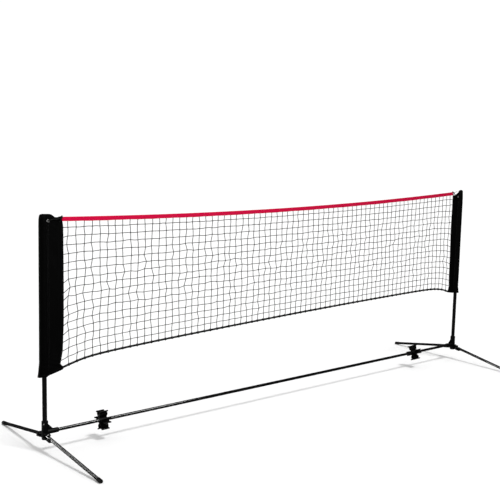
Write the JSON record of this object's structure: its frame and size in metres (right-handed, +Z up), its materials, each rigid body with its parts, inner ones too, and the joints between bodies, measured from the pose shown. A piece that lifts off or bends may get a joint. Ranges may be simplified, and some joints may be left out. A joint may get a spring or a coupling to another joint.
{
  "type": "portable badminton net",
  "caption": "Free-standing badminton net on a folding base: ground bar, hubs with swinging legs, telescoping poles, fabric sleeves, red top tape and knotted netting.",
  "frame": {"origin": "on the floor, midway between the two hubs", "axes": "+X along the net towards the right hub, +Y towards the rear legs, +Z up"},
  "size_m": [3.0372, 0.974, 1.1258],
  "materials": {
    "moulded_plastic": "moulded satin black",
    "nylon": "plain black nylon",
    "foot_rubber": "matt black rubber",
    "plated_steel": "zinc plated",
    "painted_tube": "gloss black powder coat",
    "sleeve_fabric": "black woven polyester",
    "tape_fabric": "crimson woven tape",
    "netting": "dark knotted twine",
    "cord": "black braided cord"
  },
  "bodies": {
    "base": {"hub_left": "moulded_plastic", "hub_right": "moulded_plastic", "lower_pole_left": "painted_tube", "lower_pole_right": "painted_tube", "bar_section_1": "painted_tube", "bar_section_2": "painted_tube", "bar_section_3": "painted_tube", "bar_section_4": "painted_tube", "bar_ferrule_1": "plated_steel", "bar_ferrule_2": "plated_steel", "bar_ferrule_3": "plated_steel", "bar_spring_1": "plated_steel", "bar_spring_2": "plated_steel", "bar_spring_3": "plated_steel", "socket_spring_left": "plated_steel", "socket_spring_right": "plated_steel", "pole_spring_left": "plated_steel", "pole_spring_right": "plated_steel", "leg_rivets_left": "plated_steel", "leg_rivets_right": "plated_steel", "lock_collet_left": "moulded_plastic", "lock_collet_right": "moulded_plastic"},
    "net": {"upper_pole_left": "painted_tube", "mast_cap_left": "moulded_plastic", "net_sleeve_left": "sleeve_fabric", "eyelet_left": "plated_steel", "tie_left": "cord", "upper_pole_right": "painted_tube", "mast_cap_right": "moulded_plastic", "net_sleeve_right": "sleeve_fabric", "eyelet_right": "plated_steel", "tie_right": "cord", "top_tape": "tape_fabric", "net_panel": "netting", "bottom_cord": "cord"},
    "lock_left": {"lock_collar_left": "moulded_plastic"},
    "leg_front_left": {"leg_tube_front_left": "painted_tube", "leg_pivot_plug_front_left": "nylon", "foot_cap_front_left": "foot_rubber"},
    "leg_rear_left": {"leg_tube_rear_left": "painted_tube", "leg_pivot_plug_rear_left": "nylon", "foot_cap_rear_left": "foot_rubber"},
    "clip_left": {"storage_clip_left": "moulded_plastic"},
    "lock_right": {"lock_collar_right": "moulded_plastic"},
    "leg_front_right": {"leg_tube_front_right": "painted_tube", "leg_pivot_plug_front_right": "nylon", "foot_cap_front_right": "foot_rubber"},
    "leg_rear_right": {"leg_tube_rear_right": "painted_tube", "leg_pivot_plug_rear_right": "nylon", "foot_cap_rear_right": "foot_rubber"},
    "clip_right": {"storage_clip_right": "moulded_plastic"},
    "bar_button_1": {"bar_button_1": "plated_steel"},
    "bar_button_2": {"bar_button_2": "plated_steel"},
    "bar_button_3": {"bar_button_3": "plated_steel"},
    "socket_button_left": {"socket_button_left": "plated_steel"},
    "pole_button_left": {"pole_button_left": "plated_steel"},
    "socket_button_right": {"socket_button_right": "plated_steel"},
    "pole_button_right": {"pole_button_right": "plated_steel"}
  },
  "joints": [
    {"name": "net_height", "type": "slide", "parent": "base", "child": "net", "axis": [0, 0, 1], "range_m": [0, 0.45]},
    {"name": "lock_left_twist", "type": "hinge", "parent": "base", "child": "lock_left", "pos_m": [-1.5, 0, 0.79], "axis": [0, 0, 1], "range_deg": [0, 90]},
    {"name": "leg_front_left_fold", "type": "hinge", "parent": "base", "child": "leg_front_left", "pos_m": [-1.5, -0.033, 0.08], "axis": [0.0055, -0.1581, 0.9874], "range_deg": [0, 83]},
    {"name": "leg_rear_left_fold", "type": "hinge", "parent": "base", "child": "leg_rear_left", "pos_m": [-1.5, 0.033, 0.08], "axis": [-0.0055, -0.1581, -0.9874], "range_deg": [0, 83]},
    {"name": "clip_left_turn", "type": "hinge", "parent": "base", "child": "clip_left", "pos_m": [-1.19, 0, 0.096], "axis": [1, 0, 0], "continuous": true},
    {"name": "lock_right_twist", "type": "hinge", "parent": "base", "child": "lock_right", "pos_m": [1.5, 0, 0.79], "axis": [0, 0, 1], "range_deg": [0, 90]},
    {"name": "leg_front_right_fold", "type": "hinge", "parent": "base", "child": "leg_front_right", "pos_m": [1.5, -0.033, 0.08], "axis": [0.0055, 0.1581, -0.9874], "range_deg": [0, 83]},
    {"name": "leg_rear_right_fold", "type": "hinge", "parent": "base", "child": "leg_rear_right", "pos_m": [1.5, 0.033, 0.08], "axis": [-0.0055, 0.1581, 0.9874], "range_deg": [0, 83]},
    {"name": "clip_right_turn", "type": "hinge", "parent": "base", "child": "clip_right", "pos_m": [1.108, 0, 0.096], "axis": [1, 0, 0], "continuous": true},
    {"name": "bar_button_1_press", "type": "slide", "parent": "base", "child": "bar_button_1", "axis": [0, 0, -1], "range_m": [0, 0.003], "stiffness_N_per_m": 300, "springref_m": -0.002, "deforming": ["bar_spring_1"]},
    {"name": "bar_button_2_press", "type": "slide", "parent": "base", "child": "bar_button_2", "axis": [0, 0, -1], "range_m": [0, 0.003], "stiffness_N_per_m": 300, "springref_m": -0.002, "deforming": ["bar_spring_2"]},
    {"name": "bar_button_3_press", "type": "slide", "parent": "base", "child": "bar_button_3", "axis": [0, 0, -1], "range_m": [0, 0.003], "stiffness_N_per_m": 300, "springref_m": -0.002, "deforming": ["bar_spring_3"]},
    {"name": "socket_button_left_press", "type": "slide", "parent": "base", "child": "socket_button_left", "axis": [0, 0, -1], "range_m": [0, 0.0054], "stiffness_N_per_m": 300, "springref_m": -0.002, "deforming": ["socket_spring_left"]},
    {"name": "pole_button_left_press", "type": "slide", "parent": "base", "child": "pole_button_left", "axis": [0.7071, 0.7071, 0], "range_m": [0, 0.0074], "stiffness_N_per_m": 300, "springref_m": -0.002, "deforming": ["pole_spring_left"]},
    {"name": "socket_button_right_press", "type": "slide", "parent": "base", "child": "socket_button_right", "axis": [0, 0, -1], "range_m": [0, 0.0054], "stiffness_N_per_m": 300, "springref_m": -0.002, "deforming": ["socket_spring_right"]},
    {"name": "pole_button_right_press", "type": "slide", "parent": "base", "child": "pole_button_right", "axis": [-0.7071, -0.7071, 0], "range_m": [0, 0.0074], "stiffness_N_per_m": 300, "springref_m": -0.002, "deforming": ["pole_spring_right"]}
  ]
}
